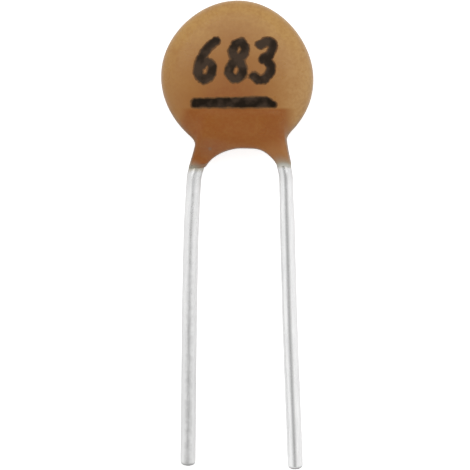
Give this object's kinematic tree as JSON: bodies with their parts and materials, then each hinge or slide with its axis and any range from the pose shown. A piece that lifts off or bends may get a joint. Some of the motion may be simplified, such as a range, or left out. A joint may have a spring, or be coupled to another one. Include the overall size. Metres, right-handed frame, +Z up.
{
  "type": "ceramic disc capacitor",
  "caption": "Small dipped ceramic disc capacitor: a brown resin-coated disc on two tinned wire leads, lying on its back.",
  "frame": {"origin": "middle of the small flat on the coating's rear face, on the surface that the part lies on", "axes": "+Z up, out of the marked front face; +Y from the lead tips towards the top of the disc; +X to the right seen from the front"},
  "size_m": [0.0054, 0.0167, 0.0022],
  "materials": {
    "coating": "semi-gloss brown phenolic resin",
    "ceramic": "matt fired ceramic",
    "silver": "dull fired silver",
    "solder": "satin solder",
    "tinned_wire": "bright drawn tin"
  },
  "bodies": {
    "root": {"resin_coating": "coating", "ceramic_disc": "ceramic", "front_electrode": "silver", "rear_electrode": "silver", "front_solder": "solder", "rear_solder": "solder", "left_lead": "tinned_wire", "right_lead": "tinned_wire"}
  },
  "joints": []
}
